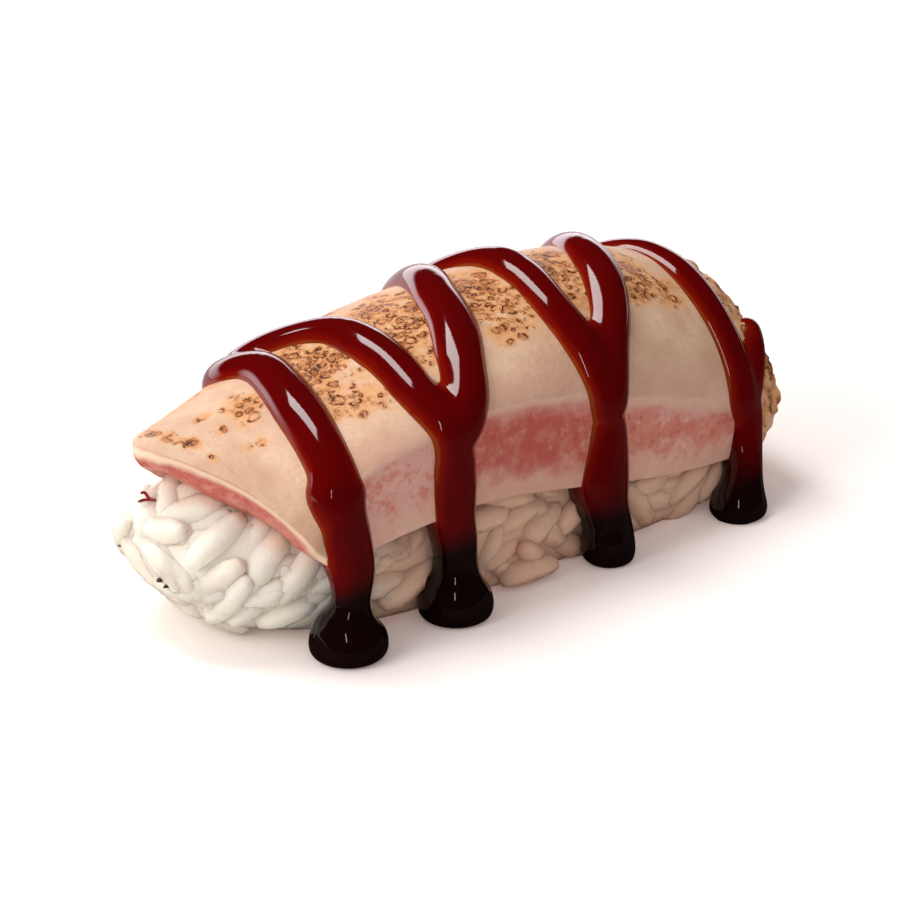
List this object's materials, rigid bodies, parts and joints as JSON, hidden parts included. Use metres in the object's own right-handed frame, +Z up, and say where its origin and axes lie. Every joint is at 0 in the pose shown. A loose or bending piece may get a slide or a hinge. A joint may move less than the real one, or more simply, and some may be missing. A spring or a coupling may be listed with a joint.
{
  "type": "seared tuna nigiri",
  "caption": "Oblong mound of cooked rice with a draped slab of seared tuna on top, crossed by a zigzag of thick dark sauce that runs down one side into beads.",
  "frame": {"origin": "on the rice mound's flat base, the surface that the food stands on, under its middle", "axes": "+X along the length towards the drooping far end, +Z up, -Y towards the side that the sauce runs down"},
  "size_m": [0.0667, 0.0306, 0.0247],
  "materials": {
    "cooked_rice": "satin",
    "seared_tuna": "satin"
  },
  "bodies": {
    "root": {"rice": "cooked_rice", "tuna": "seared_tuna"}
  },
  "joints": []
}
